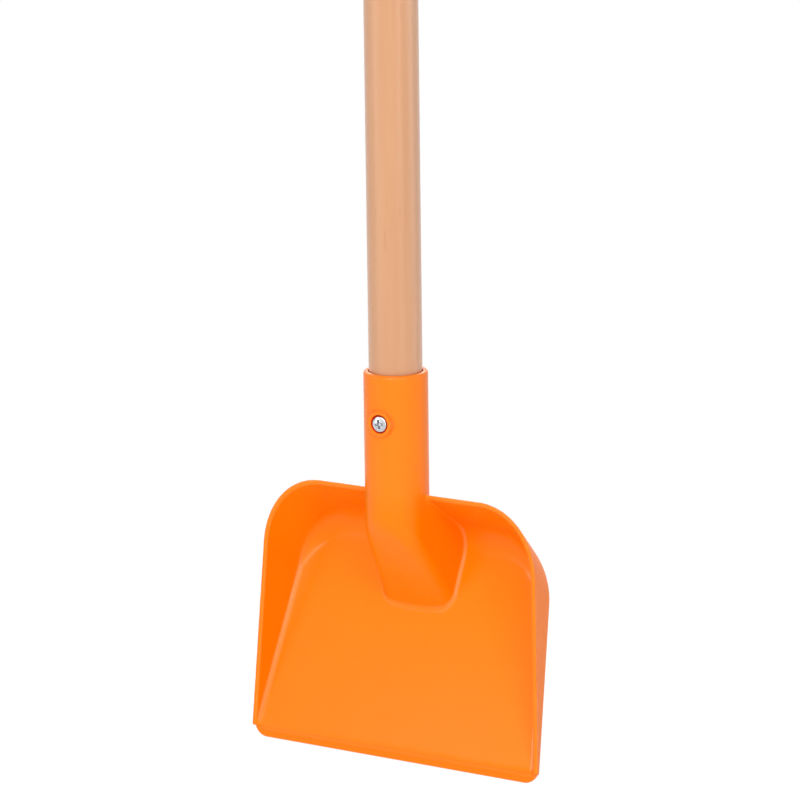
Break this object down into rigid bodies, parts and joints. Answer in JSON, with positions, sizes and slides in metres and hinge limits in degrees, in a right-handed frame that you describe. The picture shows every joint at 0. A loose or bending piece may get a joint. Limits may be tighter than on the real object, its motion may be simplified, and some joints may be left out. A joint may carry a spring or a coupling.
{
  "type": "sand shovel",
  "caption": "Child's sand shovel: an open moulded plastic pan with rounded top corners and a bevelled lip, its socket screwed to a long round wooden handle.",
  "frame": {"origin": "on the handle's axis, in the middle of its bare length between the socket's mouth and the free end", "axes": "+Z along the handle, from the blade to the free end; -Y is the way the pan opens; +X is across the blade, to the right for a viewer who looks into the pan"},
  "size_m": [0.1382, 0.04, 0.7055],
  "materials": {
    "blade": "satin orange moulding",
    "handle": "sanded beech, clear satin",
    "screw": "bright zinc plating"
  },
  "bodies": {
    "root": {"blade": "blade", "handle": "handle", "screw": "screw"}
  },
  "joints": []
}
